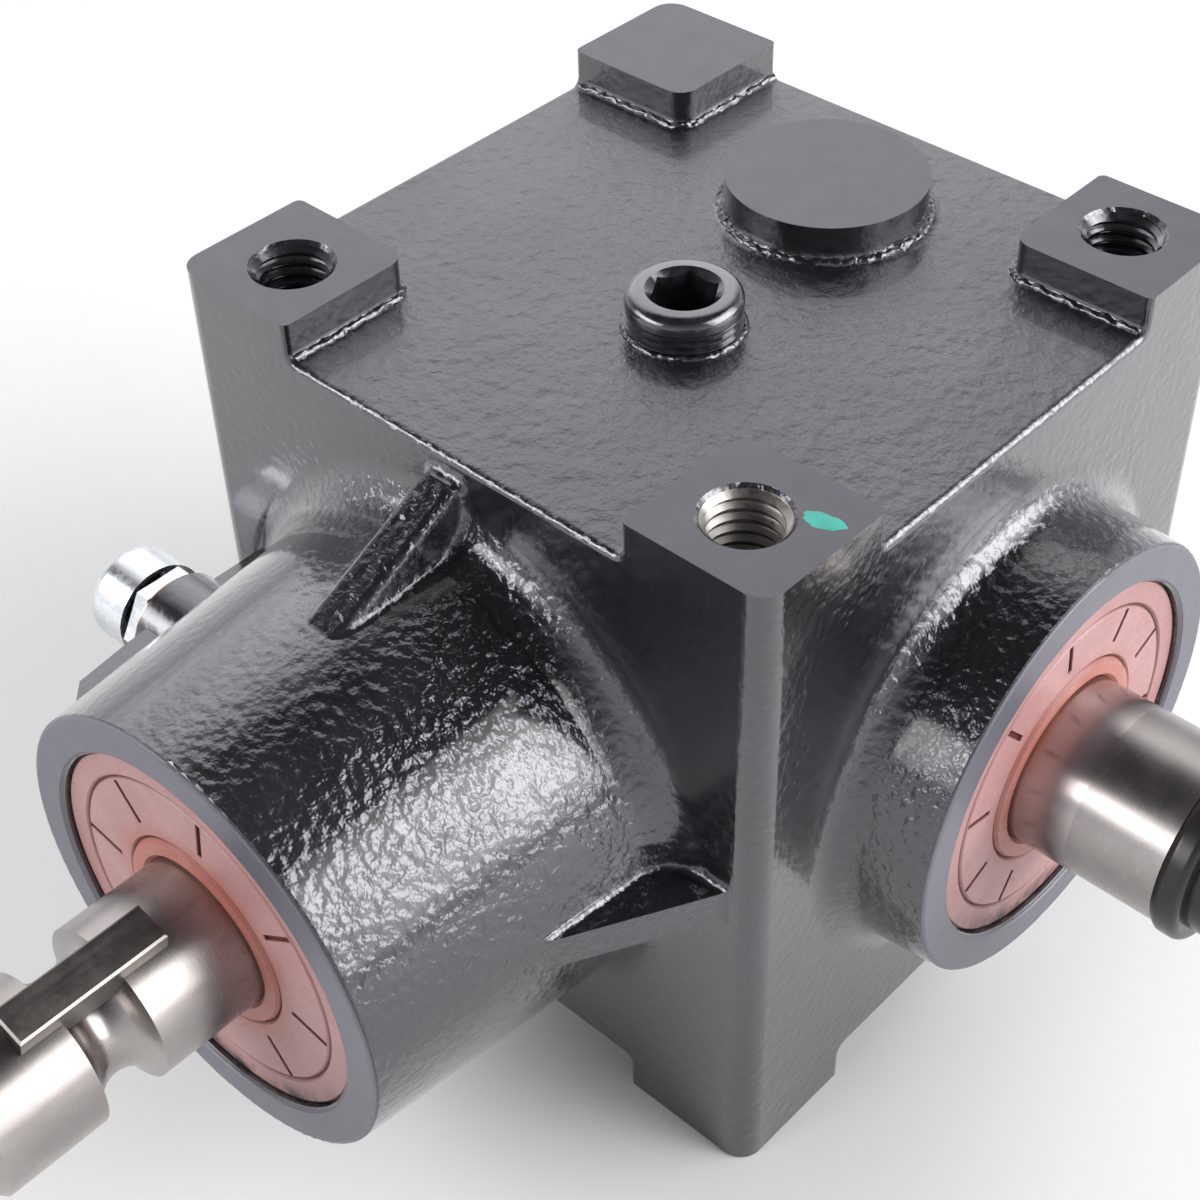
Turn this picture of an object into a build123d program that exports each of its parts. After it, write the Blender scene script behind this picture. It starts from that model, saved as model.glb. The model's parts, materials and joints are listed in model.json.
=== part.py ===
from build123d import *
from math import acos, cos, pi, radians, sin, sqrt, tan
import os

# Right-angle gearbox for a mower deck. The input shaft leaves towards -Y and the output shaft
# towards +X. The origin is the centre of the bottom bolt pattern, on the plane of the bottom pads.

# Casting
box_length = 116.5        # along X
box_width = 113.8         # along Y
total_height = 124.0      # bottom pads to top pads
box_corner = 4.0          # upright edges of the box
rim_round = 1.2           # edges of the top and bottom faces
pad_side = 25.0
pad_height = 6.5
pad_corner = 3.5
pad_root = 1.5            # fillet round the foot of a pad
wall = 9.0
cavity_corner = 36.0      # upright corners of the cavity, which leave metal round the bolt holes
cavity_edge = 6.0
inner_boss_wall = 6.5
shoulder = 4.0            # how far the inner bore lip stands in from the bearing seat
shoulder_length = 2.5

snout_reach = 112.0       # apex to the snout's end face
snout_end_radius = 37.5
snout_draft = 5.0         # degrees
snout_root = 7.5          # fillet into the box
boss_reach = 74.2         # apex to the output boss's end face
boss_end_radius = 37.5
boss_draft = 5.0
boss_root = 5.5
end_round = 0.8           # outer edge of both machined end faces
mouth_chamfer = 0.6

top_rib_width = 7.0
top_rib_drop = 3.5        # top of the rib below the top face, at the box
top_rib_sunk = 0.5        # end of the rib below the snout's surface
top_rib_flat = 2.0        # level top of the rib, next to the box
top_rib_slope = 30.114    # degrees, down from the level top to the snout
side_web_thick = 6.0
side_web_reach = 25.0
vent_web_thick = 11.0
vent_web_reach = 49.0
vent_web_edge = ((5.0, 7.0), (6.5, 26.0), (8.0, 37.0))   # in from the box's side, out from its front
web_edge = 1.6            # rounded edges of the rib
rib_root = 1.5            # fillet round the rib's foot
web_root = 1.2            # fillet round the snout web's foot
web_corner = 5.0          # how far in from the box's upright edges a web starts
web_sunk = 1.0            # how far a web runs into the box
boss_web_back = 3.0       # end of the output boss's web behind the boss's face

top_disc_radius = 16.6
top_disc_y = 29.0
top_disc_root = 2.0

bolt_spacing = 90.0       # both ways
bolt_hole_radius = 6.35   # outside of a half-inch thread
bolt_hole_depth = 18.0
bolt_mouth_radius = 6.9
drill_point = 31.0        # degrees from square, at the bottom of a blind hole

# Shafts, gears and bearings
bearing_radius = 31.0
journal_radius = 15.0
bearing_width = 16.0
ball_radius = 4.7625
ball_count = 9
tail_journal_radius = 12.5
tail_bearing_width = 17.0
tail_ball_radius = 5.75
tail_ball_count = 7
tail_overhang = 1.0       # shaft end past the tail bearing
race_share = 1.04         # groove radius to ball radius
land_share = 0.55         # ring lands from the ball circle, in ball radii
cage_share = 0.32         # cage faces from the ball circle, in ball radii
cage_length = 2.5         # in ball radii
ring_chamfer = 0.6

input_radius = 12.7
input_end = 155.5         # apex to the shaft's free end
end_chamfer = 1.5
shaft_chamfer = 0.6       # journals and the pinion end
shaft_nose = 2.0          # input shaft past its gear ring
centre_radius = 3.2       # mouth of the centre hole in each shaft end
centre_pilot = 1.25       # radius of its pilot
centre_deep = 6.0
lock_groove_at = 133.1    # apex to the middle of the round groove
lock_groove_width = 10.2
lock_groove_round = 5.15
key_width = 6.35
key_height = 6.0
key_length = 24.5
key_start = 120.5         # apex to the key's inner end
key_stand = 2.8           # key above the shaft's surface
key_turn = 15.5           # degrees from straight up, towards +X

output_radius = 14.2875
output_shoulder = 97.9    # apex to the step that the cap rests on
spigot_radius = 11.0
spigot_length = 26.0
spline_count = 10
spline_depth = 1.0
spline_runout = 3.0       # plain length between the shoulder and the splines
collar_radius = 18.0
collar_start = 26.0

teeth = 16
module = 3.5
pressure_angle = 20.0
face_width = 11.5
backlash = 0.22           # at the pitch circle
gear_bore = 12.5          # radius
hub_radius = 22.5
gear_back = 34.2          # apex to the output gear's back face
input_hub_extra = 6.4     # the input gear's hub is longer by this
gear_key_width = 8.0
gear_key_height = 7.0
gear_key_sunk = 4.0       # depth of the keyway in the shaft
gear_key_length = 9.5
gear_key_inset = 1.0      # gear back to the key's end
root_depth = 1.35         # tooth solid below the pitch cone, in modules, so that it sinks into the blank

# Seals, rings, spacers and plugs
seal_width = 7.0
seal_recess = 1.3
seal_shell = 3.0          # radial thickness of the outer ring
seal_web = 1.8
seal_line = 26.5          # radius of the thin ring in the outer face
seal_groove = 0.5
seal_lip = 3.4            # width of the raised lip round the shaft
seal_slot_start = 6.0     # shaft surface to the inner end of the radial slots
seal_slot_width = 1.0
seal_edge = 0.5           # chamfers of the outer ring
seal_rise = 0.4           # lip above the face
lip_bevel = 0.7
lip_depth = 1.2           # sealing land below the web
lip_drop = 2.4            # lip below the web
input_seal_slots = 8
input_seal_turn = -9.0    # degrees to the first slot
output_seal_slots = 10
output_seal_turn = -11.4
ring_thick = 2.0
ring_sunk = 1.6           # depth of the ring's groove in the bore
ring_stand = 3.4          # how far the ring stands in from the bore
ring_eye = 2.6
shaft_ring_thick = 1.5
shaft_ring_sunk = 0.8
shaft_ring_stand = 2.4
shim_thick = 0.4
spacer_radius = 18.5
ring_space = 0.8          # ring to seal

fill_plug_x = 4.3
fill_plug_y = -10.7
fill_plug_radius = 9.2
fill_plug_length = 15.5
fill_thread_radius = 8.4
socket_flats = 9.5
socket_depth = 7.5
vent_from_apex = 71.4     # along the snout
vent_thread_radius = 6.0
vent_thread_length = 12.0
vent_face = 54.2          # apex line to the vent boss's face
vent_boss_radius = 9.4
vent_drill_radius = 2.5
vent_hex_flats = 15.0
vent_hex_thick = 2.8
vent_neck_radius = 5.0
vent_cap_radius = 8.5
vent_cap_length = 9.3
vent_cap_wall = 0.9
vent_cap_gap = 0.9
vent_cap_round = 2.6
washer_radius = 8.3
washer_thick = 1.2
cap_rim_radius = 15.1
cap_rim_length = 4.6
cap_wall = 1.4
cap_end_wall = 2.0
cap_spare = 1.0           # free length past the spigot

# Fits
seat = 0.03               # pieces pressed or slid on to each other, per side
running = 0.05            # a seal lip on its shaft, per side
free = 0.3                # pieces that pass each other

# Worked out from the sizes above
axis_height = total_height / 2
half_x = box_length / 2
half_y = box_width / 2
face_top = total_height - pad_height
bolt_at = bolt_spacing / 2
ring_width = ring_thick + 2 * seat
cone_distance = module * teeth / 2 * sqrt(2)
inner_share = 1 - face_width / cone_distance
pitch_radius = module * teeth / 2
root_sunk = 1.25 * module / sqrt(2)
gear_front = (pitch_radius + root_sunk) * inner_share

input_seal_at = snout_reach - seal_recess - seal_width
input_ring_at = input_seal_at - ring_space - ring_width
front_bearing_at = input_ring_at - shim_thick - bearing_width
rear_bearing_at = gear_back + input_hub_extra + shim_thick
input_journal_end = input_seal_at - ring_space / 2
output_seal_at = boss_reach - seal_recess - seal_width
output_ring_at = output_seal_at - ring_space - ring_width
outer_bearing_at = output_ring_at - shim_thick - bearing_width
output_journal_end = output_seal_at - ring_space / 2
tail_bearing_at = -(gear_back + shim_thick + tail_bearing_width)
tail_shaft_end = tail_bearing_at - tail_overhang

input_frame = Plane(origin=(0, 0, axis_height), x_dir=(1, 0, 0), z_dir=(0, -1, 0))
output_frame = Plane(origin=(0, 0, axis_height), x_dir=(0, 1, 0), z_dir=(1, 0, 0))
tail_frame = Plane(origin=(0, 0, axis_height), x_dir=(0, 1, 0), z_dir=(-1, 0, 0))
half_tooth = Rot(0, 0, 180 / teeth)
vent_frame = Plane(origin=(0, -vent_from_apex, axis_height), x_dir=(0, 1, 0), z_dir=(-1, 0, 0))


# Simple shapes, built along Z
def turned(*points):
    """Solid of revolution about Z from (radius, z) points."""
    outline = Plane.XZ * Polyline(*points, close=True)
    return revolve(make_face(outline), Axis.Z)


def tube(inner, outer, start, length):
    """Ring about Z."""
    return turned((inner, start), (outer, start), (outer, start + length), (inner, start + length))


def rod(radius, start, length):
    """Cylinder about Z."""
    return Pos(0, 0, start + length / 2) * Cylinder(radius, length)


def save(name, shape, frame=Plane.XY):
    """Write one node in the shared frame."""
    export_step(frame.location * shape, f"parts/{name}.step")


# Casting
def square_pads():
    """The four corner pads as a flat outline."""
    outline = fillet(Rectangle(pad_side * 2, pad_side * 2).vertices(), pad_corner)
    pads = Sketch()
    for corner in GridLocations(box_length, box_width, 2, 2):
        pads += corner * outline
    return pads & RectangleRounded(box_length, box_width, box_corner)


def level_edges(shape, z):
    """Edges of a shape that lie flat at height z."""
    level = [edge for edge in shape.edges() if abs(edge.center().Z - z) < 0.01]
    return [edge for edge in level if edge.bounding_box().size.Z < 0.01]


def beside_box(edge):
    """True where an edge runs along one of the four upright sides of the box."""
    place = edge.center()
    return abs(abs(place.X) - half_x) < 1 or abs(abs(place.Y) - half_y) < 1


def block():
    """Box with its corner pads at the top and bottom."""
    outline = RectangleRounded(box_length, box_width, box_corner)
    body = Pos(0, 0, pad_height) * extrude(outline, face_top - pad_height)
    pads = extrude(square_pads(), pad_height)
    body += pads
    body += Pos(0, 0, face_top) * pads
    for z in (pad_height, face_top):
        body = fillet([edge for edge in level_edges(body, z) if not beside_box(edge)], pad_root)
    for z in (pad_height, face_top):
        body = fillet([edge for edge in level_edges(body, z) if beside_box(edge)], rim_round)
    return body


def top_disc():
    """Plain round boss on the top face, level with the pads."""
    root = top_disc_root
    wide = top_disc_radius + root
    mid = radians(225)
    flare = ThreePointArc((top_disc_radius, root), (wide + root * cos(mid), root + root * sin(mid)),
                          (wide, 0))
    sides = Polyline((wide, 0), (wide, -wall / 2), (0, -wall / 2), (0, pad_height),
                     (top_disc_radius, pad_height), (top_disc_radius, root))
    outline = Plane.XZ * (flare + sides)
    return Pos(0, top_disc_y, face_top) * revolve(make_face(outline.edges()), Axis.Z)


def round_boss(reach, end_radius, draft, root, box_half):
    """Drafted round boss along Z that flares into the flat side of the box."""
    tilt = radians(draft)
    rise = root * (1 - sin(tilt))
    wall_radius = end_radius + (reach - end_round - box_half - rise) * tan(tilt)
    centre = wall_radius + root * cos(tilt)
    mid = radians(225) + tilt / 2
    flare = ThreePointArc((wall_radius, box_half + rise),
                          (centre + root * cos(mid), box_half + root + root * sin(mid)),
                          (centre, box_half))
    inside = Polyline((centre, box_half), (centre, box_half - wall / 2), (0, box_half - wall / 2),
                      (0, reach), (end_radius - end_round, reach))
    turn = end_round * sin(radians(45))
    corner = ThreePointArc((end_radius - end_round, reach),
                           (end_radius - end_round + turn, reach - end_round + turn),
                           (end_radius, reach - end_round))
    side = Line((end_radius, reach - end_round), (wall_radius, box_half + rise))
    outline = Plane.XZ * (flare + inside + corner + side)
    return revolve(make_face(outline.edges()), Axis.Z)


def snout_radius(y):
    """Outside radius of the snout at a distance from the apex."""
    return snout_end_radius + (snout_reach - y) * tan(radians(snout_draft))


def top_rib():
    """Upright rib along the top of the snout."""
    high = face_top - top_rib_drop
    rise = high - axis_height - snout_end_radius
    foot = half_y + top_rib_flat + rise / tan(radians(top_rib_slope))
    low = axis_height + snout_radius(foot) - top_rib_sunk
    deep = axis_height + snout_end_radius - wall / 2
    inside = half_y - wall / 2
    outline = Polyline((-inside, high), (-half_y - top_rib_flat, high), (-foot, low), (-foot, deep),
                       (-inside, deep), close=True)
    rib = extrude(Plane.YZ * make_face(outline), top_rib_width / 2, both=True)
    upper = [edge for edge in rib.edges() if edge.center().Z > low and abs(edge.center().X) > 1]
    return fillet(upper, web_edge)


def flat_web(points, thick):
    """Level web at axis height from its plan outline."""
    plan = make_face(Polyline(*points, close=True))
    return Pos(0, 0, axis_height) * extrude(plan, thick / 2, both=True)


def snout_web():
    """Small web from the box to the +X side of the snout."""
    inside = snout_end_radius - wall / 2
    foot = half_y + side_web_reach
    edge = half_x - web_corner
    return flat_web([(inside, -half_y + web_sunk), (edge, -half_y + web_sunk), (edge, -half_y),
                     (snout_radius(foot) - web_sunk / 2, -foot), (inside, -foot)], side_web_thick)


def boss_web():
    """Small web from the box to the +Y side of the output boss."""
    inside = boss_end_radius - wall / 2
    foot = boss_reach - boss_web_back
    edge = half_y - web_corner
    return flat_web([(half_x - web_sunk, inside), (half_x - web_sunk, edge), (half_x, edge),
                     (foot, boss_end_radius), (foot, inside)], side_web_thick)


def vent_web():
    """Long web on the -X side of the snout, with the round boss for the breather."""
    inside = snout_end_radius - wall / 2
    foot = half_y + vent_web_reach
    rim = [(-half_x + across, -half_y - along) for across, along in vent_web_edge]
    web = flat_web([(-inside, -half_y + web_sunk), (-half_x + web_corner, -half_y + web_sunk), *rim,
                    (-snout_radius(foot), -foot), (-inside, -foot)], vent_web_thick)
    return web + vent_frame.location * rod(vent_boss_radius, inside, vent_face - inside)


def rooted(body, piece, radius):
    """Join a rib or web to the casting with a fillet along its root."""
    joined = body + piece
    root = [edge for edge in joined.edges()
            if body.distance_to(edge @ 0.5) < 0.01 and piece.distance_to(edge @ 0.5) < 0.01]
    return fillet(root, radius)


def cavity():
    """Oil space inside the box, with metal left round the bearing seats."""
    space = extrude(RectangleRounded(box_length - 2 * wall, box_width - 2 * wall, cavity_corner),
                    face_top - pad_height - 2 * wall)
    space = fillet(space.edges().group_by(Axis.Z)[0] + space.edges().group_by(Axis.Z)[-1], cavity_edge)
    space = Pos(0, 0, pad_height + wall) * space
    seat_wall = bearing_radius + inner_boss_wall
    space -= input_frame.location * rod(seat_wall, rear_bearing_at - shoulder_length, snout_reach)
    space -= output_frame.location * rod(seat_wall, outer_bearing_at - 1, boss_reach)
    space -= tail_frame.location * rod(seat_wall, -tail_bearing_at - tail_bearing_width, box_length)
    return space


def input_bore():
    """Bearing, ring and seal seats through the snout."""
    end = snout_reach
    seats = rod(bearing_radius, rear_bearing_at, end - rear_bearing_at)
    lip = rod(bearing_radius - shoulder, rear_bearing_at - shoulder_length - 1, shoulder_length + 2)
    mouth = turned((0, end - mouth_chamfer), (bearing_radius, end - mouth_chamfer),
                   (bearing_radius + mouth_chamfer, end), (0, end))
    groove = rod(bearing_radius + ring_sunk, input_ring_at, ring_width)
    return input_frame.location * (seats + lip + mouth + groove)


def output_bore():
    """Bearing, ring and seal seats through the output boss, and the blind seat opposite."""
    end = boss_reach
    start = outer_bearing_at - 2
    seats = rod(bearing_radius, start, end - start)
    mouth = turned((0, end - mouth_chamfer), (bearing_radius, end - mouth_chamfer),
                   (bearing_radius + mouth_chamfer, end), (0, end))
    groove = rod(bearing_radius + ring_sunk, output_ring_at, ring_width)
    blind = rod(bearing_radius, tail_bearing_at, tail_bearing_width + 1)
    relief = rod(bearing_radius - shoulder, tail_shaft_end - 0.7, 2)
    return output_frame.location * (seats + mouth + groove + blind + relief)


def bolt_hole(mouth_radius):
    """Blind tapped hole that opens upwards at z = 0."""
    depth = bolt_hole_depth
    sink = mouth_radius - bolt_hole_radius
    tip = bolt_hole_radius * tan(radians(drill_point))
    return turned((0, -depth - tip), (bolt_hole_radius, -depth), (bolt_hole_radius, -sink),
                  (mouth_radius, 0), (0, 0))


def bolt_holes():
    """Three tapped holes in the top pads and four in the bottom pads."""
    hole = bolt_hole(bolt_mouth_radius)
    places = [(bolt_at, -bolt_at), (-bolt_at, -bolt_at), (bolt_at, bolt_at)]
    holes = [Pos(x, y, total_height) * hole for x, y in places]
    holes += [Pos(x, y, 0) * (Rot(180, 0, 0) * hole) for x, y in places + [(-bolt_at, bolt_at)]]
    return holes


def housing():
    """The one-piece casting with all its machined seats."""
    body = block() + top_disc()
    body += input_frame.location * round_boss(snout_reach, snout_end_radius, snout_draft, snout_root, half_y)
    body += output_frame.location * round_boss(boss_reach, boss_end_radius, boss_draft, boss_root, half_x)
    body = rooted(body, top_rib(), rib_root)
    body = rooted(body, snout_web(), web_root)
    body += boss_web() + vent_web()
    body -= cavity()
    body -= input_bore()
    body -= output_bore()
    for hole in bolt_holes():
        body -= hole
    plug_seat = rod(fill_thread_radius + seat, face_top - wall * 2, wall * 2 + 1)
    body -= Pos(fill_plug_x, fill_plug_y, 0) * plug_seat
    vent_depth = vent_face - vent_thread_length
    body -= vent_frame.location * rod(vent_thread_radius + seat, vent_depth - 1, vent_thread_length + 2)
    body -= vent_frame.location * rod(vent_drill_radius, bearing_radius - 2, vent_depth)
    body -= vent_frame.location * rod(washer_radius + free, vent_face, washer_radius)
    return body


# Gears
def tooth_section(share):
    """Flat section of one tooth, square to the pitch cone, at a share of the cone distance."""
    cone = cone_distance
    base = cone * cos(radians(pressure_angle))
    tip = cone + module
    root = cone - root_depth * module
    shared = tan(radians(pressure_angle)) - radians(pressure_angle)
    half_pitch = pi / (2 * teeth * sqrt(2)) - backlash / (4 * cone)

    def flank(radius):
        lean = acos(base / radius)
        turn = half_pitch + shared - (tan(lean) - lean)
        return radius * sin(turn), radius * cos(turn) - cone

    steps = 4
    right = [flank(base + (tip - base) * step / steps) for step in range(steps + 1)]
    left = [(-x, y) for x, y in reversed(right)]
    foot = right[0][0] * root / base, root - cone
    outline = Spline(*right) + Line(right[-1], left[0]) + Spline(*left)
    outline += Polyline(left[-1], (-foot[0], foot[1]), foot, right[0])
    middle = cone / sqrt(2) * share
    frame = Plane(origin=(middle, 0, middle), x_dir=(0, -1, 0), z_dir=(1, 0, 1))
    return frame * scale(make_face(outline.edges()), by=share)


def miter_gear(hub_back):
    """Straight bevel gear on Z with its apex at the origin and its hub away from it."""
    root_outer = (pitch_radius - root_sunk, pitch_radius + root_sunk)
    root_inner = (root_outer[0] * inner_share, gear_front)
    hub_start = root_outer[1] + root_outer[0] - hub_radius
    blank = turned((gear_bore + seat, gear_front), root_inner, root_outer, (hub_radius, hub_start),
                   (hub_radius, hub_back), (gear_bore + seat, hub_back))
    tooth = loft([tooth_section(1), tooth_section(inner_share)], ruled=True)
    for place in PolarLocations(0, teeth):
        blank += place * tooth
    slot_top = gear_bore - gear_key_sunk + gear_key_height + seat * 2
    slot = Pos(0, slot_top / 2, hub_back / 2) * Box(gear_key_width + 2 * seat, slot_top, hub_back)
    return blank - slot


def gear_key():
    """Parallel key under a gear's hub, on the shaft's +Y side."""
    start = gear_back - gear_key_length - gear_key_inset
    return Pos(0, gear_bore - gear_key_sunk + gear_key_height / 2, start + gear_key_length / 2) \
        * Box(gear_key_width, gear_key_height, gear_key_length)


# Bearings
def ball_bearing(bore, width, ball, count, middle):
    """Rings, cage and balls of a deep-groove ball bearing on Z."""
    pitch = (bore + bearing_radius) / 2
    race = ball * race_share
    deep = ball + running / 2
    inner_land = pitch - ball * land_share
    outer_land = pitch + ball * land_share
    inner = tube(bore + seat, inner_land, -width / 2, width)
    outer = tube(outer_land, bearing_radius - seat, -width / 2, width)
    inner = chamfer(inner.edges().filter_by(GeomType.CIRCLE), ring_chamfer)
    outer = chamfer(outer.edges().filter_by(GeomType.CIRCLE), ring_chamfer)
    inner -= Torus(pitch + race - deep, race)
    outer -= Torus(pitch - race + deep, race)
    half = ball * cage_share
    cage = tube(pitch - half, pitch + half, -ball * cage_length / 2, ball * cage_length)
    cage = Rot(0, 0, 180 / count) * cage
    balls = []
    for place in PolarLocations(pitch, count):
        balls.append(place * Sphere(ball))
    for place in PolarLocations(pitch, count):
        cage -= place * Rot(0, 90, 0) * Cylinder(ball + seat * 4, ball * 2)
    parts = {"outer_ring": outer, "inner_ring": inner, "cage": cage, "balls": Compound(children=balls)}
    return {name: Pos(0, 0, middle) * part for name, part in parts.items()}


# Shafts
def centre_hole(end):
    """Centre-drilled hole that opens outwards at a shaft's end."""
    cone = (centre_radius - centre_pilot) / tan(radians(30))
    return turned((0, end - centre_deep), (centre_pilot, end - centre_deep + centre_pilot / 2),
                  (centre_pilot, end - cone), (centre_radius, end), (0, end))


def keyway(width, height, length, start, floor):
    """Closed slot for a parallel key on the +Y side of a shaft."""
    return Pos(0, floor + height / 2, start + length / 2) \
        * Box(width + 2 * seat, height, length + 2 * seat)


def gear_keyway():
    """Keyway under a gear's hub."""
    start = gear_back - gear_key_length - gear_key_inset
    return keyway(gear_key_width, gear_key_height, gear_key_length, start, gear_bore - gear_key_sunk)


def input_shaft():
    """Stepped shaft with the pinion's seat inside and the driven end outside."""
    front = gear_front - shaft_ring_thick - 2 * seat
    groove = gear_bore - shaft_ring_sunk
    edge = end_chamfer
    nose = front - shaft_nose
    shaft = turned((0, nose), (gear_bore - shaft_chamfer, nose), (gear_bore, nose + shaft_chamfer),
                   (gear_bore, front),
                   (groove, front), (groove, gear_front), (gear_bore, gear_front),
                   (gear_bore, rear_bearing_at), (journal_radius, rear_bearing_at),
                   (journal_radius, input_journal_end - shaft_chamfer),
                   (journal_radius - shaft_chamfer, input_journal_end),
                   (input_radius, input_journal_end), (input_radius, input_end - edge),
                   (input_radius - edge, input_end), (0, input_end))
    clip = front_bearing_at + bearing_width
    shaft -= tube(journal_radius - shaft_ring_sunk, journal_radius + 1, clip, shaft_ring_thick + 2 * seat)
    sink = sqrt(lock_groove_round ** 2 - (lock_groove_width / 2) ** 2)
    shaft -= Pos(0, 0, lock_groove_at) * Torus(input_radius + sink, lock_groove_round)
    floor = input_radius + key_stand - key_height
    slot = keyway(key_width, key_height, key_length, key_start, floor)
    return shaft - Rot(0, 0, -key_turn) * slot - gear_keyway() - centre_hole(input_end)


def input_key():
    """Parallel key that drives the coupling on the input shaft."""
    middle = input_radius + key_stand - key_height / 2
    key = Pos(0, middle, key_start + key_length / 2) * Box(key_width, key_height, key_length)
    key = chamfer(key.edges().group_by(Axis.Y)[-1], 0.35)
    return Rot(0, 0, -key_turn) * key


def output_shaft():
    """Stepped shaft through the box, with the gear's seat at -Z and a splined end at +Z."""
    end = output_shoulder + spigot_length
    edge = end_chamfer
    shaft = turned((0, tail_shaft_end), (gear_bore - edge / 2, tail_shaft_end),
                   (gear_bore, tail_shaft_end + edge / 2), (gear_bore, -gear_front),
                   (journal_radius, -gear_front), (journal_radius, collar_start),
                   (collar_radius, collar_start), (collar_radius, outer_bearing_at),
                   (journal_radius, outer_bearing_at), (journal_radius, output_journal_end - shaft_chamfer),
                   (journal_radius - shaft_chamfer, output_journal_end), (output_radius, output_journal_end),
                   (output_radius, output_shoulder), (spigot_radius, output_shoulder),
                   (spigot_radius, end - edge), (spigot_radius - edge, end), (0, end))
    width = pi * spigot_radius / spline_count
    middle = end - spigot_length / 2 + spline_runout
    space = Pos(spigot_radius, 0, middle) * Box(spline_depth * 2, width, spigot_length)
    for place in PolarLocations(0, spline_count):
        shaft -= place * space
    return shaft - Rot(180, 0, 0) * half_tooth * gear_keyway() - centre_hole(end)


# Seals, rings, shims and spacers
def shaft_seal(shaft_radius, slots, first_slot, start):
    """Rubber-covered lip seal with short radial slots in its outer face."""
    lip = shaft_radius + running
    rim = bearing_radius - seat
    shell = rim - seal_shell
    hub = lip + seal_lip
    back = lip + lip_drop
    top = seal_width
    web = top - seal_web
    dip = top - seal_groove
    crown = top + seal_rise
    seal = turned((shell, 0), (rim - seal_edge, 0), (rim, seal_edge), (rim, top - seal_edge),
                   (rim - seal_edge, top),
                  (seal_line + seal_groove, top), (seal_line, dip), (seal_line - seal_groove, top),
                  (hub + seal_groove, top), (hub, dip), (hub - seal_groove, crown),
                  (lip + lip_bevel, crown), (lip, crown - lip_bevel), (lip, web - lip_depth),
                  (lip + lip_bevel, web - lip_drop), (back, web - lip_drop), (back, web), (shell, web))
    inner = shaft_radius + seal_slot_start
    outer = seal_line - seal_groove
    slot = Pos((inner + outer) / 2, 0, top) * Box(outer - inner, seal_slot_width, seal_groove * 2)
    for place in PolarLocations(0, slots, start_angle=first_slot):
        seal -= place * slot
    return Pos(0, 0, start) * seal


def bore_ring(start):
    """Retaining ring with two eyes, sprung into a groove in a bore."""
    outer = bearing_radius + ring_sunk - seat
    inner = bearing_radius - ring_stand
    half = ring_thick / 2
    ring = tube(inner, outer, -half, ring_thick)
    ring -= Pos(0, -outer, 0) * Box(ring_eye * 3, outer, ring_thick * 2)
    for side in (-1, 1):
        eye = Pos(side * ring_eye * 1.9, -inner + ring_eye * 0.4, 0)
        ring += eye * Cylinder(ring_eye, ring_thick)
        ring -= eye * Cylinder(ring_eye * 0.45, ring_thick * 2)
    return Pos(0, 0, start + seat + half) * ring


def shaft_ring(shaft_radius, start):
    """Plain retaining ring sprung into a groove in a shaft."""
    inner = shaft_radius - shaft_ring_sunk + seat
    ring = tube(inner, shaft_radius + shaft_ring_stand, start + seat, shaft_ring_thick)
    return ring - Pos(0, -shaft_radius, start) * Box(shaft_radius * 0.7, shaft_radius, shaft_ring_thick * 4)


# Plugs and cap
def fill_plug():
    """Filler plug with a rounded rim and a hexagon socket, standing up from the top face."""
    top = total_height
    rim = fill_plug_radius
    thread = fill_thread_radius
    tall = pad_height * 0.5
    plug = turned((0, top - fill_plug_length), (thread - 1, top - fill_plug_length),
                  (thread, top - fill_plug_length + 1), (thread, top - tall), (rim, top - tall), (rim, top),
                  (0, top))
    plug = fillet(plug.edges().group_by(Axis.Z)[-1], tall * 0.42)
    socket = extrude(RegularPolygon(socket_flats / 2, 6, major_radius=False), socket_depth)
    return Pos(fill_plug_x, fill_plug_y, 0) * (plug - Pos(0, 0, top - socket_depth) * socket)


def vent_body():
    """Breather screwed into the web boss: thread, hexagon and the neck that carries the cap."""
    base = vent_face + washer_thick
    inner = vent_face - vent_thread_length
    neck_end = base + vent_hex_thick + vent_cap_gap + vent_cap_length - vent_cap_wall
    body = rod(vent_thread_radius, inner, base - inner)
    hexagon = RegularPolygon(vent_hex_flats / 2, 6, major_radius=False)
    body += Pos(0, 0, base) * extrude(hexagon, vent_hex_thick)
    body += rod(vent_neck_radius, base, neck_end - base)
    body -= rod(vent_drill_radius / 2, inner, base + vent_hex_thick + vent_cap_gap * 2 - inner)
    cross = Pos(0, 0, base + vent_hex_thick + vent_cap_gap * 2) * Rot(0, 90, 0)
    return body - cross * Cylinder(vent_drill_radius / 2, vent_neck_radius * 3)


def vent_cap():
    """Domed cap over the breather's neck, open towards the hexagon."""
    start = vent_face + washer_thick + vent_hex_thick + vent_cap_gap
    end = start + vent_cap_length
    cap = rod(vent_cap_radius, start, vent_cap_length)
    cap = fillet(cap.edges().group_by(Axis.Z)[-1], vent_cap_round)
    hollow = rod(vent_cap_radius - vent_cap_wall, start, vent_cap_length - vent_cap_wall)
    hollow = fillet(hollow.edges().group_by(Axis.Z)[-1], vent_cap_round - vent_cap_wall)
    return cap - hollow


def shaft_end_cap():
    """Soft cap pushed over the output shaft's splined end, with a thick rounded rim."""
    rim_end = output_shoulder + cap_rim_length
    bore = spigot_radius + running
    outer = bore + cap_wall
    end = output_shoulder + spigot_length + cap_spare + cap_end_wall
    rim = rod(cap_rim_radius, output_shoulder, cap_rim_length)
    rim = fillet(rim.edges(), 1.4)
    body = rod(outer, output_shoulder, end - output_shoulder)
    body = fillet(body.edges().group_by(Axis.Z)[-1], 1.4)
    return rim + body - rod(bore, output_shoulder - 1, end - cap_end_wall - output_shoulder + 1)


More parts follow.
